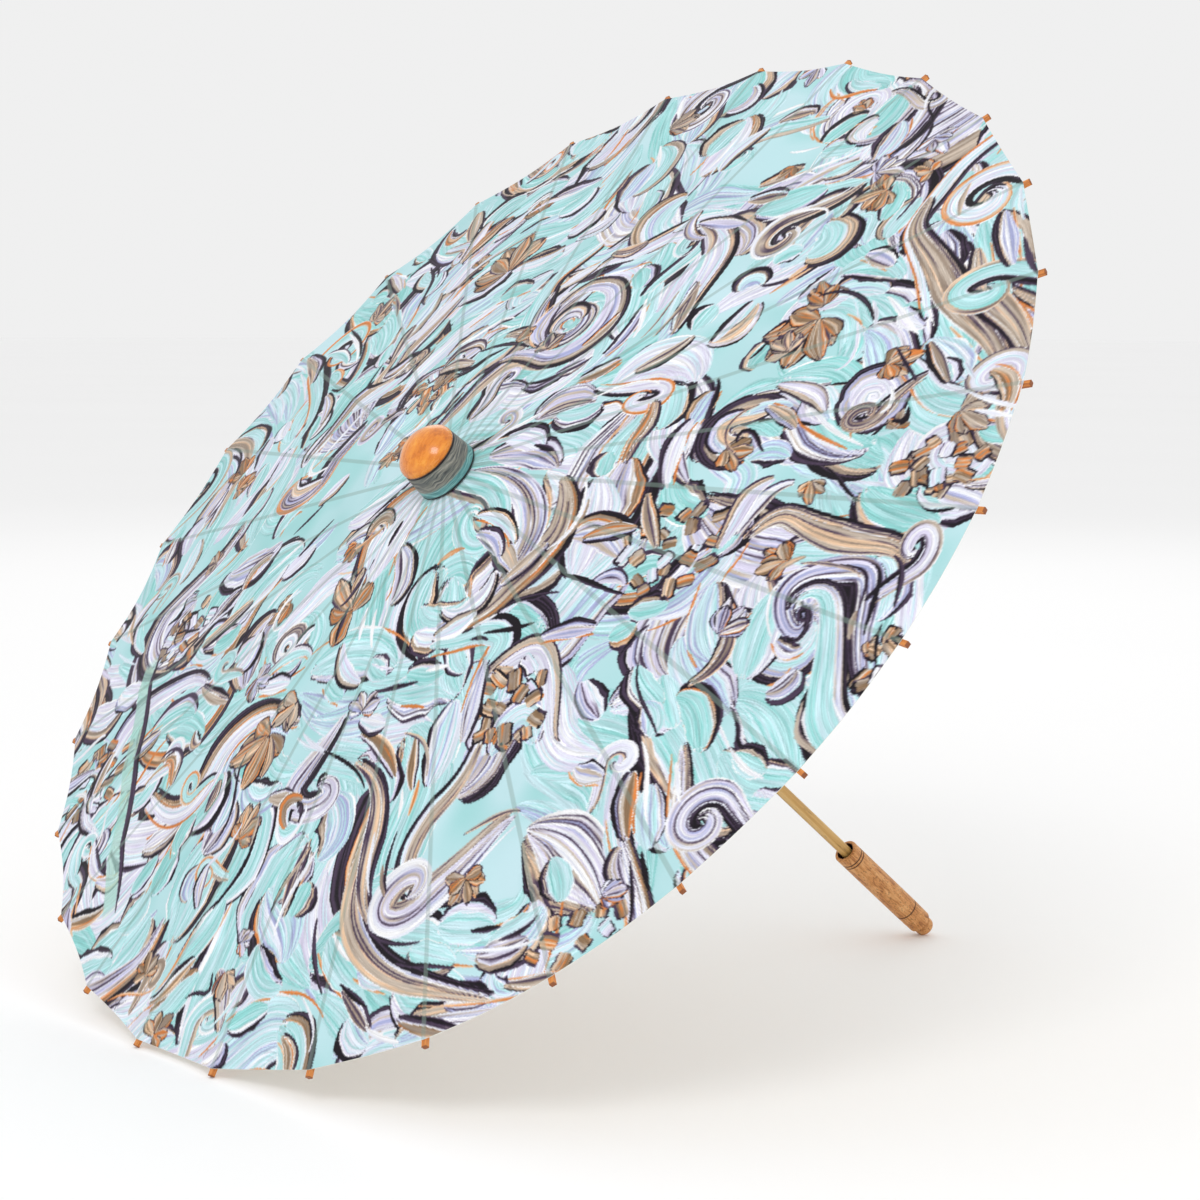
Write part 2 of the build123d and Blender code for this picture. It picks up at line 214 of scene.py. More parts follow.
# How often each palette comes up for a kind of stroke
MIXES = {
    "ground": {"water": 0.5, "sky": 0.2, "pool": 0.15, "foam": 0.15},
    "leaf": {"water": 0.40, "pool": 0.14, "sky": 0.18, "foam": 0.15, "shell": 0.13},
    "small leaf": {"shell": 0.3, "stone": 0.32, "foam": 0.2, "ember": 0.08, "water": 0.10},
    "band": {"stone": 0.36, "shell": 0.38, "foam": 0.16, "ember": 0.10},
    "scroll": {"water": 0.34, "foam": 0.26, "shell": 0.28, "stone": 0.12},
    "scroll edge": {"night": 0.7, "stone": 0.3},
    "dab": {"block": 0.7, "ember": 0.15, "foam": 0.15},
    "line": {"light": 0.28, "rust": 0.14, "foam": 0.16, "night": 0.28, "stone": 0.14},
}


def pick(rng, mix):
    return rng.choice(list(MIXES[mix]), p=list(MIXES[mix].values()))


def clouds(rng, scale):
    """Smooth noise over the whole canvas, from 0 to 1, with its lumps scale millimetres apart."""
    n = int(CANVAS / (scale * MM)) + 3
    grid = rng.random((n, n))
    t = np.linspace(0, n - 2.001, CANVAS)
    i = t.astype(int)
    f = t - i
    f = f * f * (3 - 2 * f)
    rows = grid[i] * (1 - f)[:, None] + grid[i + 1] * f[:, None]
    return rows[:, i] * (1 - f) + rows[:, i + 1] * f


def stroke_grid(rng, spine, width, ends):
    """A grid of points over a stroke, u along it and v across it, with its length and half widths."""
    spine = np.asarray(spine, float)
    at = np.concatenate([[0], np.cumsum(np.hypot(*np.diff(spine, axis=0).T))])
    total = at[-1]
    headings = np.unwrap(np.arctan2(*np.diff(spine, axis=0).T[::-1]))
    outside = total + width / 2 * np.abs(np.diff(headings)).sum()
    u = np.linspace(0, 1, int(outside * MM / ALONG_STEP) + 4)
    v = np.linspace(-1, 1, int(width * MM / ACROSS_STEP) + 3)
    ahead = np.gradient(spine, axis=0)
    ahead /= np.hypot(*ahead.T)[:, None] + 1e-9
    x, y, dx, dy = (np.interp(u * total, at, side) for side in (*spine.T, *ahead.T))
    size = np.hypot(dx, dy) + 1e-9
    half = width / 2 * (np.clip(u / ends[0], 0, 1) * np.clip((1 - u) / ends[1], 0, 1)) ** 0.6
    half *= 1 + 0.05 * np.sin(u * rng.uniform(6, 14) + rng.uniform(0, 6))
    px = x[:, None] - (dy / size * half)[:, None] * v
    py = y[:, None] + (dx / size * half)[:, None] * v
    return u, v, px, py, total, half


def bristle_colours(rng, palette, u, v, total, bristles, edge):
    """Each grid point's colour, and each v's bristle; a bristle changes colour now and then."""
    knots = max(int(total / KNOT), 2) + 1
    colours = np.array(PALETTES[palette])
    held = np.tile(rng.integers(0, len(colours), bristles), (knots, 1))
    change = rng.random(held.shape) < 0.22
    held[change] = rng.integers(0, len(colours), change.sum())
    table = colours[held] * (1 + 0.035 * rng.standard_normal((knots, bristles, 1)))
    if edge is not None:
        table[:, 0] = edge
    b = (v + 1) / 2 * (bristles - 1)
    ib = np.minimum(b.astype(int), bristles - 2)
    fb = np.clip((b - ib) * 1.8 - 0.4, 0, 1)[None, :, None]
    k = u * (knots - 1.001)
    ik = k.astype(int)
    fa = (k - ik)[:, None, None]
    low = table[ik][:, ib] * (1 - fb) + table[ik][:, ib + 1] * fb
    high = table[ik + 1][:, ib] * (1 - fb) + table[ik + 1][:, ib + 1] * fb
    return low * (1 - fa) + high * fa, ib


def stroke(canvas, rng, spine, width, palette, ends=(0.35, 0.35), edge=None, ragged=0.10):
    """One brush stroke, width at its widest; each bristle has its own colour and its own start and stop."""
    u, v, px, py, total, half = stroke_grid(rng, spine, width, ends)
    bristles = max(int(width / BRISTLE), 3)
    colour, ib = bristle_colours(rng, palette, u, v, total, bristles, edge)
    starts, stops = rng.random(bristles)[ib] * ragged * 0.5, 1 - rng.random(bristles)[ib] * ragged
    iu = np.rint((px + EXTENT) * MM - 0.5).astype(int)
    iv = np.rint((py + EXTENT) * MM - 0.5).astype(int)
    keep = (u[:, None] > starts) & (u[:, None] < stops)
    keep &= (iu >= 0) & (iv >= 0) & (iu < CANVAS) & (iv < CANVAS)
    iu, iv = iu[keep], iv[keep]
    canvas[iv, iu, :3] = colour[keep]
    canvas[iv, iu, 3] = np.broadcast_to((u * total)[:, None], keep.shape)[keep]
    canvas[iv, iu, 4] = (half[:, None] * v)[keep]
    canvas[iv, iu, 5] = rng.random()


def arc(start, heading, length, turn, turn2=None, n=14):
    """A line whose heading turns by turn degrees in all, or at a rate that goes from turn to turn2."""
    turn2 = turn if turn2 is None else turn2
    h = np.radians(heading + np.cumsum(np.linspace(turn, turn2, n)) / n)
    steps = np.stack([np.cos(h), np.sin(h)], 1)[:-1] * length / (n - 1)
    return np.array(start) + np.concatenate([[[0, 0]], np.cumsum(steps, 0)])


def aside(spine, by):
    """A line that runs beside spine."""
    d = np.gradient(spine, axis=0)
    d /= np.hypot(*d.T)[:, None] + 1e-9
    return spine + np.stack([-d[:, 1], d[:, 0]], 1) * by


def degrees_of(vector):
    return math.degrees(math.atan2(vector[1], vector[0]))


class Flow:
    """Headings that turn round scattered centres."""

    def __init__(self, rng, count):
        self.centres, self.radii, self.hands = [], [], []
        tries = 0
        while len(self.radii) < count and tries < 20000:
            tries += 1
            p = rng.uniform(-EXTENT, EXTENT, 2)
            r = rng.choice([58, 42, 27, 15], p=[0.25, 0.3, 0.25, 0.2]) * rng.uniform(0.85, 1.2)
            if all(np.hypot(*(p - q)) > 1.2 * (r + s) for q, s in zip(self.centres, self.radii)):
                self.centres.append(p)
                self.radii.append(r)
                self.hands.append(rng.choice([-1, 1]))
        self.centres, self.radii, self.hands = map(np.array, (self.centres, self.radii, self.hands))
        self.x, self.y = clouds(rng, 130) - 0.5, clouds(rng, 130) - 0.5

    def __call__(self, p):
        """The flow's heading at a point, as a unit vector."""
        i, j = np.clip(((p + EXTENT) * MM).astype(int), 0, CANVAS - 1)
        v = np.array([self.x[j, i], self.y[j, i]]) * 2.4
        d = p - self.centres
        weight = np.exp(-(d**2).sum(1) / (2 * (1.2 * self.radii) ** 2)) * self.hands / self.radii
        v += np.array([-(d[:, 1] * weight).sum(), (d[:, 0] * weight).sum()])
        v -= 0.22 * (d * np.abs(weight)[:, None]).sum(0)
        return v / (np.hypot(*v) + 1e-6)

    def path(self, p, length, step=4.0, sway=0.0):
        """A line from p along the flow, turned aside from it by sway radians."""
        out = [np.array(p, float)]
        c, s = math.cos(sway), math.sin(sway)
        for _ in range(max(int(length / step), 3)):
            v = self(out[-1])
            out.append(out[-1] + step * np.array([c * v[0] - s * v[1], s * v[0] + c * v[1]]))
        return np.array(out)


def curve(rng, flow, p, length):
    """A stroke's line, either along the flow or bent in a bow of its own."""
    if rng.random() < 0.68:
        return flow.path(p, length, sway=rng.uniform(-0.3, 0.3))
    ahead = flow(p)
    turn = rng.choice([-1, 1]) * rng.uniform(50, 190)
    return arc(p, degrees_of(ahead) - turn / 3, length, turn, turn * rng.uniform(-0.5, 1.2), 18)


def lobe(canvas, rng, spine, width, body, ends=(0.35, 0.3)):
    """A leaf of colour with a white rim, a streaked band along one side and a dark gap beyond it."""
    side = rng.choice([-1, 1])
    band = pick(rng, "band")
    gap, wide = rng.uniform(0.8, 3.0 + 0.15 * width), rng.uniform(1.5, 0.30 * width + 2)
    dark = aside(spine, side * (wide + gap) * 0.55)
    stroke(canvas, rng, dark, width + wide + gap, "night", (ends[0] * 0.9, ends[1] * 1.1))
    stroke(canvas, rng, aside(spine, side * wide * 0.5), width + wide, band, ends)
    if rng.random() < 0.3:
        stroke(canvas, rng, aside(spine, -side * width * 0.5), 2.2, "rust", (0.5, 0.5))
    stroke(canvas, rng, spine, width + 1.4, "light", ends)
    stroke(canvas, rng, spine, width, body, ends)


def volute(canvas, rng, centre, radius, hand):
    """A band that curls in to a dark eye, drawn slightly oval."""
    t = np.linspace(0, 1, 44)
    r = radius * ((1 - t) ** rng.uniform(0.8, 1.2) * 0.86 + 0.14)
    turn = rng.uniform(0, 2 * math.pi) + hand * t * rng.uniform(0.9, 1.35) * 2 * math.pi
    lean, squash = rng.uniform(0, math.pi), rng.uniform(0.62, 0.95)
    c, s = math.cos(lean), math.sin(lean)
    ring = np.stack([r * np.cos(turn), r * np.sin(turn) * squash], 1) @ np.array([[c, s], [-s, c]])
    curl = centre + ring
    heading = degrees_of(curl[0] - curl[1])
    lead = arc(curl[0], heading, radius * rng.uniform(1.5, 3.0), hand * -20, hand * rng.uniform(30, 130), 16)
    spine = np.concatenate([lead[::-1][:-1], curl])
    width = radius * rng.uniform(0.42, 0.62)
    dark = pick(rng, "scroll edge")
    stroke(canvas, rng, curl[-10:] + rng.uniform(-1, 1, 2), width * 0.9, "night", (0.3, 0.3))
    stroke(canvas, rng, aside(spine, hand * width * 0.30), width * 1.25, dark, (0.4, 0.2))
    stroke(canvas, rng, spine, width + 1.2, "light", (0.35, 0.15))
    stroke(canvas, rng, spine, width, pick(rng, "scroll"), (0.35, 0.15))
    if rng.random() < 0.6:
        line = rng.choice(["rust", "light", "stone"])
        stroke(canvas, rng, aside(spine, hand * -0.42 * width), width * 0.2, line, (0.5, 0.3))


def fan(canvas, rng, centre, size, palette):
    """A leaf of short wedges that spread from its stalk."""
    heading, spread = rng.uniform(0, 360), rng.uniform(90, 200)
    count = int(rng.integers(5, 9))
    for k in rng.permutation(count):
        off = k / (count - 1) - 0.5
        length = size * (1 - 0.35 * abs(off) * 2) * rng.uniform(0.8, 1.1)
        wedge = arc(centre, heading + spread * off, length, rng.uniform(-50, 50), rng.uniform(-50, 50), 10)
        width = size * rng.uniform(0.30, 0.42)
        stroke(canvas, rng, wedge, width * 1.2, "night", (0.6, 0.35))
        edge = ORANGE if rng.random() < 0.5 else None
        stroke(canvas, rng, wedge, width, palette, (0.6, 0.35), edge=edge, ragged=0.2)


def blocks(canvas, rng, centre, radius):
    """A flower head of short square dabs, with dark between them."""
    for ring in (1.0, 0.72, 0.44, 0.16):
        count = max(int(10 * ring), 2)
        for k in range(count):
            a = 2 * math.pi * (k + rng.uniform(-0.3, 0.3)) / count
            at = centre + radius * ring * rng.uniform(0.75, 1.0) * np.array([math.cos(a), math.sin(a)])
            heading = math.degrees(a) + rng.choice([0, 90]) + rng.uniform(-40, 40)
            dab = arc(at, heading, rng.uniform(9, 17), rng.uniform(-40, 40), None, 6)
            w = rng.uniform(5.5, 9)
            stroke(canvas, rng, dab + rng.uniform(-1.2, 1.2, 2), w + 2.2, "night", (0.12, 0.12))
            stroke(canvas, rng, dab, w, pick(rng, "dab"), (0.12, 0.12), ragged=0.2)


def lap_axes():
    """Unit vectors across the overlap strip, outwards, and along it."""
    c, s = math.cos(LAP_FACES), math.sin(LAP_FACES)
    return np.array([c, s]), np.array([-s, c])


def in_lap(x, y):
    """1 inside the strip where two widths of paper overlap, 0 outside it; metres."""
    out, along = lap_axes()
    level = x * out[0] + y * out[1] - LAP_AT
    run = np.abs(x * along[0] + y * along[1] - LAP_ALONG)
    inside = np.clip(0.5 + (LAP_WIDTH / 2 - np.abs(level)) / LAP_EDGE, 0, 1)
    return inside * np.clip((LAP_REACH - run) / LAP_FADE, 0, 1)


def lay_lap(canvas, rng):
    """The overlap strip, faintly greener, with a painted shadow line along its inner edge."""
    at = (np.arange(CANVAS) + 0.5) / MM - EXTENT
    tint = 0.75 * in_lap(at[None, :] / 1000, at[:, None] / 1000)[..., None]
    canvas[..., :3] += (np.array(LAP_GREEN) - canvas[..., :3]) * tint
    # Painted shadow: a dark line along the strip's inner edge, where the overlapping paper steps down.
    out, along = lap_axes()
    level = 1000 * (LAP_AT - LAP_WIDTH / 2) - 1.2
    run = np.linspace(-1, 1, 24)[:, None]
    line = level * out + 1000 * (LAP_ALONG + LAP_REACH * run) * along + 0.8 * np.sin(7 * run) * out
    stroke(canvas, rng, line, 5.0, "night", (0.3, 0.3))


def painting():
    """The whole print, from broad strokes to fine ones, each laid over those before it."""
    rng = np.random.default_rng(PRINT_SEED)
    canvas = np.zeros((CANVAS, CANVAS, 6), np.float32)
    a, b = (clouds(rng, s)[..., None] for s in (60, 25))
    canvas[..., :3] = np.array(AQUA) * (1 - a) + np.array(PALE) * a
    canvas[..., :3] += (np.array(TEAL) - canvas[..., :3]) * np.clip(b * 1.6 - 0.7, 0, 1) * 0.6
    flow = Flow(rng, FLOW_CENTRES)

    def spots(n):
        return rng.uniform(-EXTENT - 10, EXTENT + 10, (n, 2))

    # Ground
    for p in spots(640):
        path = flow.path(p, rng.uniform(60, 140), sway=rng.uniform(-0.3, 0.3))
        stroke(canvas, rng, path, rng.uniform(14, 30), pick(rng, "ground"))
    # Leaves, large to small, then long ones that follow the flow
    for size in LEAF_SIZES:
        for p in spots(int(2600 / size)):
            width = size * rng.uniform(0.75, 1.15)
            body = pick(rng, "leaf")
            lobe(canvas, rng, curve(rng, flow, p, width * rng.uniform(1.8, 3.4)), width, body)
    for p in spots(46):
        path = flow.path(p, rng.uniform(110, 260), sway=rng.uniform(-0.15, 0.15))
        width = rng.uniform(8, 20)
        lobe(canvas, rng, path, width, rng.choice(["foam", "shell", "water", "stone"]), (0.5, 0.5))
    # Scrolls, flower heads and fans at the centres of the flow
    for i in np.argsort(-flow.radii):
        p, r = flow.centres[i], min(flow.radii[i], SCROLL_LIMIT)
        kind = rng.random()
        if kind < 0.50:
            volute(canvas, rng, p, r * 0.85, flow.hands[i])
        elif kind < 0.66 and r > 15:
            blocks(canvas, rng, p, r)
        elif kind < 0.80:
            fan(canvas, rng, p, r * 1.3, "ember")
    # Small leaves, small fans and thin lines
    for p in spots(150):
        path = curve(rng, flow, p, rng.uniform(25, 60))
        lobe(canvas, rng, path, rng.uniform(5, 10), pick(rng, "small leaf"), (0.4, 0.5))
    for p in spots(40):
        fan(canvas, rng, p, rng.uniform(14, 30), rng.choice(["stone", "ember", "ember", "shell"]))
    for p in spots(260):
        path = flow.path(p, rng.uniform(18, 70), sway=rng.uniform(-0.2, 0.2))
        stroke(canvas, rng, path, rng.uniform(1.6, 4.2), pick(rng, "line"), (0.5, 0.5))
    lay_lap(canvas, rng)
    canvas[..., :3] = np.clip(canvas[..., :3], 0, 1)
    return canvas


# Materials


class Nodes:
    """A material's node tree, built with one call for each node."""

    def __init__(self, name):
        self.material = bpy.data.materials.new(name)
        self.material.use_nodes = True
        self.tree = self.material.node_tree
        self.shader = self.tree.nodes["Principled BSDF"]

    def put(self, socket, value):
        if isinstance(value, bpy.types.NodeSocket):
            self.tree.links.new(value, socket)
        elif value is not None:
            if socket.type == "RGBA" and len(value) == 3:
                value = (*value, 1)
            socket.default_value = value

    def add(self, kind, inputs=(), output=0, **settings):
        node = self.tree.nodes.new(kind)
        for key, value in settings.items():
            setattr(node, key, value)
        for key, value in dict(inputs).items():
            self.put(node.inputs[key], value)
        return node.outputs[output]

    def attribute(self, name, output="Vector"):
        return self.add("ShaderNodeAttribute", output=output, attribute_name=name)

    def vector(self, operation, *values, output=0):
        return self.add("ShaderNodeVectorMath", enumerate(values), output, operation=operation)

    def scaled(self, vector, by):
        return self.vector("MULTIPLY", vector, by)

    def noise(self, vector, detail=3.0, roughness=0.55, output=0):
        inputs = {"Vector": vector, "Scale": 1.0, "Detail": detail, "Roughness": roughness}
        return self.add("ShaderNodeTexNoise", inputs, output)

    def math(self, operation, *values):
        return self.add("ShaderNodeMath", enumerate(values), operation=operation)

    def product(self, a, b):
        return self.math("MULTIPLY", a, b)

    def blended(self, a, b, share):
        """Two values added, the first with a share and the second with the rest."""
        return self.math("ADD", self.product(a, share), self.product(b, 1 - share))

    def distance(self, value, centre):
        return self.math("ABSOLUTE", self.math("SUBTRACT", value, centre))

    def step(self, value, low, high, to_low=0.0, to_high=1.0):
        inputs = {"Value": value, "From Min": low, "From Max": high, "To Min": to_low, "To Max": to_high}
        return self.add("ShaderNodeMapRange", inputs, interpolation_type="SMOOTHSTEP")

    def ramp(self, factor, stops):
        node = self.tree.nodes.new("ShaderNodeValToRGB")
        self.put(node.inputs[0], factor)
        elements = node.color_ramp.elements
        while len(elements) < len(stops):
            elements.new(0.5)
        for element, (at, colour) in zip(elements, stops):
            element.position, element.color = at, (*linear(colour), 1)
        return node.outputs[0]

    def mix(self, factor, a, b, blend="MIX"):
        a, b = (c if isinstance(c, bpy.types.NodeSocket) else (*linear(c), 1) for c in (a, b))
        settings = {"data_type": "RGBA", "blend_type": blend, "clamp_result": True}
        return self.add("ShaderNodeMix", {0: factor, 6: a, 7: b}, 2, **settings)

    def split(self, vector, axis):
        return self.add("ShaderNodeSeparateXYZ", {0: vector}, axis)

    def bump(self, height, strength, distance=0.0004):
        inputs = {"Height": height, "Strength": strength, "Distance": distance}
        self.put(self.shader.inputs["Normal"], self.add("ShaderNodeBump", inputs))

    def finish(self, colour, roughness, **fixed):
        self.put(self.shader.inputs["Base Color"], colour)
        self.put(self.shader.inputs["Roughness"], roughness)
        for key, value in fixed.items():
            self.shader.inputs[key.replace("_", " ")].default_value = value
        return self.material


def linear(colour):
    """A colour as it is seen on a screen, in the linear values that Blender takes."""
    c = np.asarray(colour, float)
    return np.where(c <= 0.04045, c / 12.92, ((c + 0.055) / 1.055) ** 2.4)


def printed_paper():
    """The print: each brush stroke streaked along its bristles, and the ribs showing through as darker lines,
    both the ribs seen through the paper and painted shade.
    """
    n = Nodes("printed_paper")
    plan = n.attribute("plan")
    bristle = n.attribute("bristle")
    fibres = n.noise(n.scaled(plan, (900, 900, 0)), detail=4)
    fine = n.noise(n.scaled(bristle, (38, 1150, 61)), roughness=0.62)
    broad = n.noise(n.scaled(bristle, (16, 380, 23)), detail=2)
    cloud = n.noise(n.scaled(plan, (9, 9, 0)), detail=2)
    from_rib = n.split(plan, 2)
    colour = n.attribute("paint", "Color")
    shade = n.product(n.step(fine, 0.30, 0.68, 0.84, 1.07), n.step(broad, 0.3, 0.7, 0.93, 1.05))
    shade = n.product(shade, n.step(cloud, 0.3, 0.7, 0.97, 1.03))
    grey = n.add("ShaderNodeCombineColor", {0: shade, 1: shade, 2: shade})
    colour = n.mix(1.0, colour, grey, "MULTIPLY")
    pale = n.step(n.add("ShaderNodeSeparateColor", {0: colour}, 1), 0.06, 0.35)
    colour = n.mix(n.product(n.step(fine, 0.60, 0.74, 0.0, 0.36), pale), colour, (0.97, 0.98, 0.99))
    # Grey-green lines over the ribs: the ribs seen through the paper, and painted shade where they block the
    # light through it.
    colour = n.mix(n.step(from_rib, 0.0010, 0.0022, 0.40, 0.0), colour, (0.50, 0.58, 0.54))
    n.bump(n.math("ADD", n.product(fibres, 0.5), fine), 0.25)
    return n.finish(colour, n.step(fibres, 0.25, 0.75, 0.46, 0.62), Specular_IOR_Level=0.16)


def plain_paper():
    """The underside, where the print shows through faintly."""
    n = Nodes("paper_underside")
    plan = n.attribute("plan")
    fibres = n.noise(n.scaled(plan, (300, 300, 0)), detail=6, roughness=0.7)
    flecks = n.step(n.noise(n.scaled(plan, (150, 600, 0)), detail=2), 0.66, 0.74)
    colour = n.mix(n.step(fibres, 0.3, 0.7, 0.62, 0.78), n.attribute("paint", "Color"), (0.93, 0.91, 0.84))
    colour = n.mix(n.product(flecks, 0.25), colour, (0.80, 0.74, 0.60))
    n.bump(fibres, 0.3)
    return n.finish(colour, n.step(fibres, 0.25, 0.75, 0.5, 0.68))


def paper_edge():
    n = Nodes("paper_edge")
    fibres = n.noise(n.scaled(n.attribute("plan"), (700, 700, 700)), detail=4)
    return n.finish(n.ramp(fibres, [(0.3, (0.84, 0.86, 0.82)), (0.7, (0.95, 0.95, 0.92))]), 0.7)


def wood(name, colours, along=14.0, across=900.0, mottle=40.0, rough=(0.45, 0.62), tip=None):
    """Split or turned wood with its grain along the attribute's x, and a darker end beyond tip."""
    n = Nodes(name)
    grain = n.attribute("grain")
    streak = n.noise(n.scaled(grain, (along, across, across)), detail=5, roughness=0.6)
    fleck = n.noise(n.scaled(grain, (along * 12, across * 0.8, across * 0.8)), detail=2)
    patch = n.noise(n.scaled(grain, (mottle, mottle * 2, mottle * 2)))
    stops = [(0.34 + 0.32 * i / (len(colours) - 1), c) for i, c in enumerate(colours)]
    colour = n.ramp(n.blended(streak, patch, 0.65), stops)
    colour = n.mix(n.step(fleck, 0.62, 0.72, 0, 0.45), colour, tuple(0.55 * x for x in colours[0]))
    if tip:
        at, dark = tip
        colour = n.mix(n.step(n.split(grain, 0), at - 0.0006, at + 0.0004), colour, dark)
    n.bump(streak, 0.25)
    return n.finish(colour, n.step(streak, 0.3, 0.7, *rough))


def turned_handle():
    """Turned wood with three dark scribed rings, a dark band at the chamfer near its end, and painted shade
    inside its mouth.
    """
    n = Nodes("handle_wood")
    grain = n.attribute("grain")
    height = n.split(grain, 0)
    streak = n.noise(n.scaled(grain, (70, 620, 620)), detail=5, roughness=0.62)
    patch = n.noise(n.scaled(grain, (90, 160, 160)))
    fleck = n.noise(n.scaled(grain, (420, 900, 900)), detail=2)
    stops = [(0.34, (0.58, 0.33, 0.15)), (0.48, (0.80, 0.55, 0.31)), (0.64, (0.90, 0.69, 0.46))]
    colour = n.ramp(n.blended(streak, patch, 0.6), stops)
    colour = n.mix(n.step(fleck, 0.56, 0.68, 0.0, 0.6), colour, (0.36, 0.18, 0.08))
    for ring in HANDLE_RINGS:
        colour = n.mix(n.step(n.distance(height, ring), 0.0003, 0.0009, 0.8, 0.0), colour, (0.22, 0.12, 0.07))
    # A dark band at the chamfer near the handle's end.
    chamfer_dark = n.step(n.distance(height, HANDLE_CHAMFER), 0.0008, 0.0014, 0.55, 0.0)
    colour = n.mix(chamfer_dark, colour, (0.26, 0.14, 0.07))
    # Painted shade: the inside of the mouth, from MOUTH_FLOOR up, is darkened.
    radius = n.vector("LENGTH", n.scaled(grain, (0, 1, 1)), output=1)
    inside = n.step(radius, MOUTH_RADIUS, MOUTH_RADIUS + 0.0002, 1.0, 0.0)
    colour = n.mix(n.product(inside, n.step(height, *MOUTH_FLOOR)), colour, (0.20, 0.09, 0.10))
    n.bump(streak, 0.35)
    return n.finish(colour, n.step(streak, 0.3, 0.7, 0.42, 0.58))


def varnished():
    """The finial's orange varnish, dark round its foot."""
    n = Nodes("varnished_wood")
    grain = n.attribute("grain")
    figure = n.noise(n.scaled(grain, (260, 70, 260)), detail=4, roughness=0.6)
    patch = n.noise(n.scaled(grain, (110, 90, 110)), detail=2)
    stops = [
        (0.32, (0.70, 0.35, 0.04)), (0.46, (0.87, 0.49, 0.07)),
        (0.56, (0.93, 0.57, 0.13)), (0.70, (0.97, 0.68, 0.25)),
    ]
    colour = n.ramp(n.blended(figure, patch, 0.6), stops)
    colour = n.mix(n.step(n.split(grain, 0), 0.0, 0.0016), (0.10, 0.06, 0.05), colour)
    n.bump(figure, 0.08)
    return n.finish(colour, n.step(figure, 0.3, 0.7, 0.20, 0.34), Coat_Weight=0.45, Coat_Roughness=0.07)


def wrapped():
    """Printed paper wound round the collar: grey streaks above, teal below, dark at both edges."""
    n = Nodes("wrapped_paper")
    grain = n.attribute("grain")
    height = n.split(grain, 0)
    warp = n.noise(n.scaled(grain, (45, 45, 45)), detail=2, output=1)
    bent = n.vector("MULTIPLY_ADD", warp, (0.012, 0.01, 0.01), grain)
    streaks = n.noise(n.scaled(bent, (900, 55, 55)), detail=5, roughness=0.65)
    grey = [
        (0.32, (0.16, 0.14, 0.15)), (0.44, (0.36, 0.37, 0.36)),
        (0.54, (0.50, 0.49, 0.45)), (0.68, (0.68, 0.66, 0.62)),
    ]
    teal = [(0.32, (0.20, 0.38, 0.40)), (0.50, (0.36, 0.58, 0.58)), (0.68, (0.58, 0.78, 0.76))]
    uneven = n.math("ADD", height, n.product(streaks, 0.004))
    colour = n.mix(n.step(uneven, *COLLAR_TEAL), n.ramp(streaks, teal), n.ramp(streaks, grey))
    colour = n.mix(n.step(height, 0.0008, 0.0015), (0.06, 0.05, 0.06), colour)
    top = n.step(height, COLLAR_HEIGHT - 0.0011, COLLAR_HEIGHT - 0.0005)
    colour = n.mix(top, colour, (0.10, 0.08, 0.08))
    n.bump(streaks, 0.25)
    return n.finish(colour, n.step(streaks, 0.3, 0.7, 0.42, 0.60))


def steel():
    n = Nodes("steel_wire")
    scratches = n.noise(n.scaled(n.attribute("grain"), (2000, 2000, 2000)))
    colour = n.ramp(scratches, [(0.3, (0.42, 0.41, 0.40)), (0.7, (0.66, 0.65, 0.63))])
    return n.finish(colour, n.step(scratches, 0.3, 0.7, 0.28, 0.45), Metallic=1.0)


def thread():
    n = Nodes("thread")
    inputs = {"Vector": n.attribute("grain"), "Scale": 420.0, "Distortion": 1.5, "Detail": 2.0}
    ply = n.add("ShaderNodeTexWave", inputs, 1)
    n.bump(ply, 0.4, 0.0002)
    return n.finish(n.ramp(ply, [(0.2, (0.62, 0.60, 0.54)), (0.8, (0.92, 0.91, 0.86))]), 0.8)


def plain_floor():
    n = Nodes("floor")
    place_at = n.add("ShaderNodeTexCoord", output="Object")
    haze = n.noise(n.scaled(place_at, (0.7, 0.7, 0.7)), detail=2)
    return n.finish(n.ramp(haze, [(0.3, (0.992, 0.992, 0.992)), (0.7, (0.997, 0.997, 0.997))]), 0.9)


# Attributes and meshes


def set_attribute(mesh, name, kind, values):
    layer = mesh.attributes.get(name) or mesh.attributes.new(name, kind, "POINT")
    values = np.asarray(values, np.float32).ravel()
    layer.data.foreach_set("color" if kind == "FLOAT_COLOR" else "vector", values)


def corners_of(obj):
    co = np.zeros(len(obj.data.vertices) * 3, np.float32)
    obj.data.vertices.foreach_get("co", co)
    return co.reshape(-1, 3).astype(float)


def lay_grain(obj, origin, direction, shift=0.0):
    """Stores each vertex's place along and across a piece's own axis, for its wood grain."""
    direction = np.asarray(direction, float) / np.linalg.norm(direction)
    side = np.cross(direction, NORTH if abs(direction[1]) < 0.9 else EAST)
    side /= np.linalg.norm(side)
    offset = corners_of(obj) - origin
    across = np.stack([offset @ side + shift, offset @ np.cross(direction, side) + 0.7 * shift], 1)
    set_attribute(obj.data, "grain", "FLOAT_VECTOR", np.column_stack([offset @ direction, across]))


def paint_over(obj, material):
    obj.data.materials.clear()
    obj.data.materials.append(material)


def link(name, data):
    obj = bpy.data.objects.new(name, data)
    bpy.context.scene.collection.objects.link(obj)
    return obj


def new_piece(name, vertices, faces, material=None):
    mesh = bpy.data.meshes.new(name)
    mesh.from_pydata([tuple(v) for v in vertices], [], faces)
    if material:
        mesh.materials.append(material)
    mesh.polygons.foreach_set("use_smooth", [True] * len(mesh.polygons))
    return link(name, mesh)


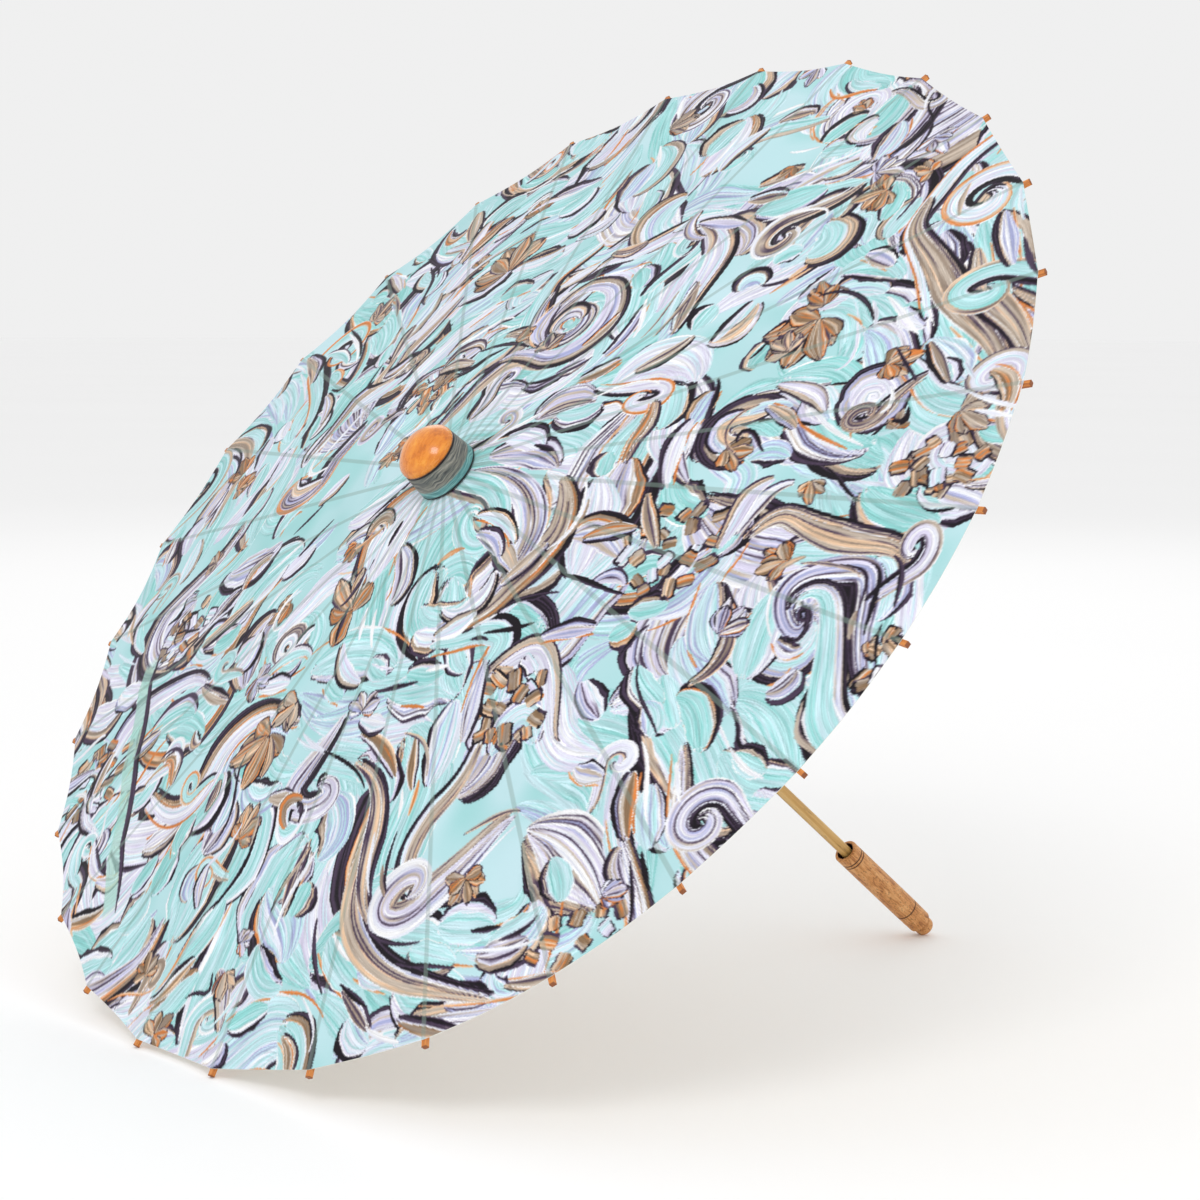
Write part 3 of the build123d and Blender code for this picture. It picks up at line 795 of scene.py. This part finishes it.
def gore_layout():
    """Faces of one gore: a fine printed top, a coarse underside, and the cut edges that join them.

    Also each face's material slot, and the row and column of each point of the underside.
    """
    nr, nc = ROWS + 1, COLUMNS + 1
    rim = [(i, j) for i in range(nr) for j in range(nc) if i in (0, ROWS) or j in (0, COLUMNS)]
    inner = [(i, j) for i in range(COARSE, ROWS, COARSE) for j in range(COARSE, COLUMNS, COARSE)]
    below = {at: nr * nc + k for k, at in enumerate(rim + inner)}
    faces = [
        (i * nc + j, i * nc + j + 1, (i + 1) * nc + j + 1, (i + 1) * nc + j)
        for i in range(ROWS)
        for j in range(COLUMNS)
    ]
    top_count = len(faces)
    for i in range(0, ROWS, COARSE):
        for j in range(0, COLUMNS, COARSE):
            far_i, far_j = i + COARSE, j + COARSE
            loop = [(k, j) for k in (range(i, far_i) if j == 0 else (i,))]
            loop += [(far_i, k) for k in (range(j, far_j) if far_i == ROWS else (j,))]
            loop += [(k, far_j) for k in (range(far_i, i, -1) if far_j == COLUMNS else (far_i,))]
            loop += [(i, k) for k in (range(far_j, j, -1) if i == 0 else (far_j,))]
            faces.append(tuple(below[at] for at in loop))
    under_count = len(faces) - top_count
    round_it = [(i, 0) for i in range(ROWS)] + [(ROWS, j) for j in range(COLUMNS)]
    round_it += [(i, COLUMNS) for i in range(ROWS, 0, -1)] + [(0, j) for j in range(COLUMNS, 0, -1)]
    for a, b in zip(round_it, round_it[1:] + round_it[:1]):
        faces.append((a[0] * nc + a[1], b[0] * nc + b[1], below[b], below[a]))
    slots = [0] * top_count + [1] * under_count + [2] * len(round_it)
    return faces, slots, list(below)


def gore_points(number, rows, columns, above, sags):
    """Pole-frame points of a gore, from one panel's middle over its rib to the next's, and how far off it."""
    share = rows / ROWS
    across = columns / COLUMNS * 2 - 1
    r = PAPER_TOP_RADIUS + share * (PAPER_RIM_RADIUS - PAPER_TOP_RADIUS)
    z = paper_height(r, above)
    reach = np.abs(across)
    bow = np.sin(reach * math.pi / 2)
    panel = np.where(across < 0, sags[(number - 2) % RIB_COUNT], sags[(number - 1) % RIB_COUNT])
    z = z - SAG * panel * bow * share**1.15
    middle = math.cos(PITCH / 2)
    along = r * (1 - reach * (1 - middle * middle)) - RIM_DRAWN_IN * bow * share**8
    sideways = r * middle * math.sin(PITCH / 2) * across
    x, y = turned(along, sideways, azimuth(number))
    if above > UNDERSIDE:
        z = z + PAPER * in_lap(x, y)
    return np.stack([x, y, z], 1), np.abs(sideways)


def bristles_at(canvas, x, y):
    """Where each point lies along and across its brush stroke, in metres, and that stroke's own number."""
    u = np.clip(((x * 1000 + EXTENT) * MM).astype(int), 0, CANVAS - 1)
    v = np.clip(((y * 1000 + EXTENT) * MM).astype(int), 0, CANVAS - 1)
    return canvas[v, u, 3:] * (0.001, 0.001, 1)


def sample(canvas, x, y):
    """The canvas at each point, smoothed between its pixels."""
    u = np.clip((x * 1000 + EXTENT) * MM - 0.5, 0, CANVAS - 1.001)
    v = np.clip((y * 1000 + EXTENT) * MM - 0.5, 0, CANVAS - 1.001)
    iu, iv = u.astype(int), v.astype(int)
    fu, fv = (u - iu)[:, None], (v - iv)[:, None]
    low = canvas[iv, iu] * (1 - fu) + canvas[iv, iu + 1] * fu
    high = canvas[iv + 1, iu] * (1 - fu) + canvas[iv + 1, iu + 1] * fu
    return low * (1 - fv) + high * fv


def build_canopy():
    rng = np.random.default_rng(SAG_SEED)
    canvas = painting()
    sags = rng.uniform(*SAGS, RIB_COUNT)
    faces, slots, below = gore_layout()
    rows, columns = np.divmod(np.arange((ROWS + 1) * (COLUMNS + 1)), COLUMNS + 1)
    low_rows, low_columns = np.array(below).T
    model = None
    for number in range(1, RIB_COUNT + 1):
        top, away = gore_points(number, rows, columns, UNDERSIDE + PAPER, sags)
        under, low_away = gore_points(number, low_rows, low_columns, UNDERSIDE, sags)
        points = np.concatenate([top, under])
        if model is None:
            obj = new_piece("gore_01", place(points), faces)
            for material in (printed_paper(), plain_paper(), paper_edge()):
                obj.data.materials.append(material)
            obj.data.polygons.foreach_set("material_index", slots)
            model = obj.data
        else:
            mesh = model.copy()
            mesh.name = f"gore_{number:02d}"
            mesh.vertices.foreach_set("co", place(points).astype(np.float32).ravel())
            obj = link(mesh.name, mesh)
        colours = linear(sample(canvas[..., :3], points[:, 0], points[:, 1]))
        set_attribute(obj.data, "paint", "FLOAT_COLOR", np.column_stack([colours, np.ones(len(colours))]))
        plan = np.column_stack([points[:, :2], np.concatenate([away, low_away])])
        set_attribute(obj.data, "plan", "FLOAT_VECTOR", plan)
        set_attribute(obj.data, "bristle", "FLOAT_VECTOR", bristles_at(canvas, points[:, 0], points[:, 1]))
        obj.data.update()
        obj.data.set_sharp_from_angle(angle=SHARP)
        fold_with_rib(obj, number)
        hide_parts("canopy")


def tube(name, line, radius, material, closed=False, sides=8):
    """A round thread along a line of row-frame points."""
    line = np.asarray(line, float)
    ahead = np.roll(line, -1, 0) - np.roll(line, 1, 0) if closed else np.gradient(line, axis=0)
    ahead /= np.linalg.norm(ahead, axis=1)[:, None]
    one = np.cross(ahead, UP)
    one /= np.linalg.norm(one, axis=1)[:, None]
    two = np.cross(ahead, one)
    turn = (np.arange(sides) * 2 * math.pi / sides)[:, None]
    ring = line[:, None] + radius * (np.cos(turn) * one[:, None] + np.sin(turn) * two[:, None])
    n = len(line)
    faces = []
    for k in range(n if closed else n - 1):
        here, there = k * sides, (k + 1) % n * sides
        for s in range(sides):
            after = (s + 1) % sides
            faces.append((here + s, here + after, there + after, there + s))
    if not closed:
        faces += [tuple(range(sides - 1, -1, -1)), tuple(range((n - 1) * sides, n * sides))]
    obj = new_piece(name, ring.reshape(-1, 3), faces, material)
    lay_grain(obj, HUB, ahead[n // 2])
    return obj


def build_threads():
    """The thread that runs from rib to rib under the paper, in one length for each rib."""
    material = thread()
    t = np.linspace(-1, 1, 9)
    middle = math.cos(PITCH / 2)
    along = RIB_RING_RADIUS * (1 - np.abs(t) * (1 - middle**2))
    sideways = RIB_RING_RADIUS * middle * math.sin(PITCH / 2) * t
    z = paper_height(RIB_RING_RADIUS, RIB_RING_LEVEL) - RIB_RING_DIP * np.abs(t) * (2 - np.abs(t))
    for number in range(1, RIB_COUNT + 1):
        x, y = turned(along, sideways, azimuth(number))
        obj = tube(f"thread_{number:02d}", place(np.stack([x, y, z], 1)), RIB_THREAD, material)
        fold_with_rib(obj, number)


def build_runner_thread():
    runner = (corners_of(frame["nodes"]["runner"]) - HUB) @ UP
    turn = np.linspace(0, 2 * math.pi, 72, endpoint=False)
    level = np.full(72, runner.max() - RUNNER_RING_DROP)
    line = np.stack([RUNNER_RING_RADIUS * np.cos(turn), RUNNER_RING_RADIUS * np.sin(turn), level], 1)
    ring = tube("runner_thread", place(line), RUNNER_THREAD, thread(), closed=True)
    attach(ring, "runner")


def twin(kind, number):
    """A copy of a neighbour's CAD piece, turned round the pole, for a rib that has no CAD node."""
    rib = body_number(number)
    source = f"{kind}_{rib:02d}"
    mesh = frame["nodes"][source].data.copy()
    turn = Matrix.Rotation((number - rib) * PITCH, 4, Vector(UP))
    mesh.transform(Matrix.Translation(Vector(HUB)) @ turn @ Matrix.Translation(-Vector(HUB)))
    obj = link(f"{kind}_{number:02d}", mesh)
    fold_with_rib(obj, number, source)
    return obj


def build_wood():
    nodes = frame["nodes"]
    bamboo = wood(
        "rib_bamboo", [(0.62, 0.33, 0.12), (0.82, 0.50, 0.22), (0.90, 0.62, 0.32)],
        tip=(RIB_LENGTH - 0.0006, (0.55, 0.30, 0.12)),
    )
    split = wood("stretcher_bamboo", [(0.60, 0.42, 0.22), (0.78, 0.60, 0.36), (0.88, 0.74, 0.52)])
    pole = wood(
        "pole_bamboo", [(0.60, 0.42, 0.20), (0.80, 0.63, 0.36), (0.90, 0.77, 0.54)],
        along=6, across=420, mottle=9, rough=(0.34, 0.48),
    )
    hub = wood(
        "hub_wood", [(0.55, 0.38, 0.22), (0.76, 0.60, 0.41), (0.85, 0.72, 0.54)],
        along=40, across=260, mottle=60,
    )
    for number in range(1, RIB_COUNT + 1):
        pieces = []
        for kind, material in (("rib", bamboo), ("stretcher", split)):
            made = body_number(number) == number
            piece = nodes[f"{kind}_{number:02d}"] if made else twin(kind, number)
            paint_over(piece, material)
            pieces.append(piece)
        out = radial(azimuth(number))
        ray = math.sin(OPEN) * out - math.cos(OPEN) * UP
        lay_grain(pieces[0], HUB + HINGE_RADIUS * out, ray, RIB_SHIFT * number)
        ends = corners_of(pieces[1])
        longest = np.linalg.svd(ends - ends.mean(0), full_matrices=False)[2][0]
        lay_grain(pieces[1], ends.mean(0), longest, STRETCHER_SHIFT * number)
    for name, material in (
        ("pole", pole), ("handle", turned_handle()), ("top_notch", hub), ("runner", hub),
        ("cap_collar", wrapped()), ("finial", varnished()), ("rib_wire", steel()),
    ):
        paint_over(nodes[name], material)
        heights = (corners_of(nodes[name]) - HUB) @ UP
        lay_grain(nodes[name], HUB + heights.min() * UP, UP)


# Floor, light and camera


def area_light(name, at, size, power):
    """A square light that faces the parasol."""
    light = bpy.data.lights.new(name, "AREA")
    light.size, light.energy = size, power
    obj = link(name, light)
    obj.location = at
    obj.rotation_euler = (Vector(LIGHT_AIM) - Vector(at)).to_track_quat("-Z", "Y").to_euler()


def build_studio():
    scene = bpy.context.scene
    scene.view_settings.view_transform = "Standard"
    corners = [(-FLOOR, -FLOOR, 0), (FLOOR, -FLOOR, 0), (FLOOR, FLOOR, 0), (-FLOOR, FLOOR, 0)]
    new_piece("floor", corners, [(0, 1, 2, 3)], plain_floor())
    world = bpy.data.worlds.new("studio")
    world.use_nodes = True
    world.node_tree.nodes["Background"].inputs[0].default_value = (1, 1, 1, 1)
    world.node_tree.nodes["Background"].inputs[1].default_value = WORLD_STRENGTH
    scene.world = world
    area_light("key", (-2.6, -2.2, 3.2), 1.4, 40)
    area_light("fill", (1.6, -3.4, 1.8), 2.6, 6)
    area_light("back", (2.2, 2.6, 2.6), 2.2, 12)


def build_camera():
    data = bpy.data.cameras.new("camera")
    data.lens, data.sensor_width = CAMERA_LENS, 36
    data.clip_start, data.clip_end = 0.05, 60
    camera = link("camera", data)
    ahead = Vector(CAMERA_AHEAD).normalized()
    right = ahead.cross(Vector(CAMERA_UP)).normalized()
    axes = Matrix((right, right.cross(ahead), -ahead)).transposed()
    camera.matrix_world = Matrix.Translation(CAMERA_AT) @ axes.to_4x4()
    bpy.context.scene.camera = camera


build_canopy()
build_threads()
build_wood()
build_runner_thread()
build_studio()
build_camera()
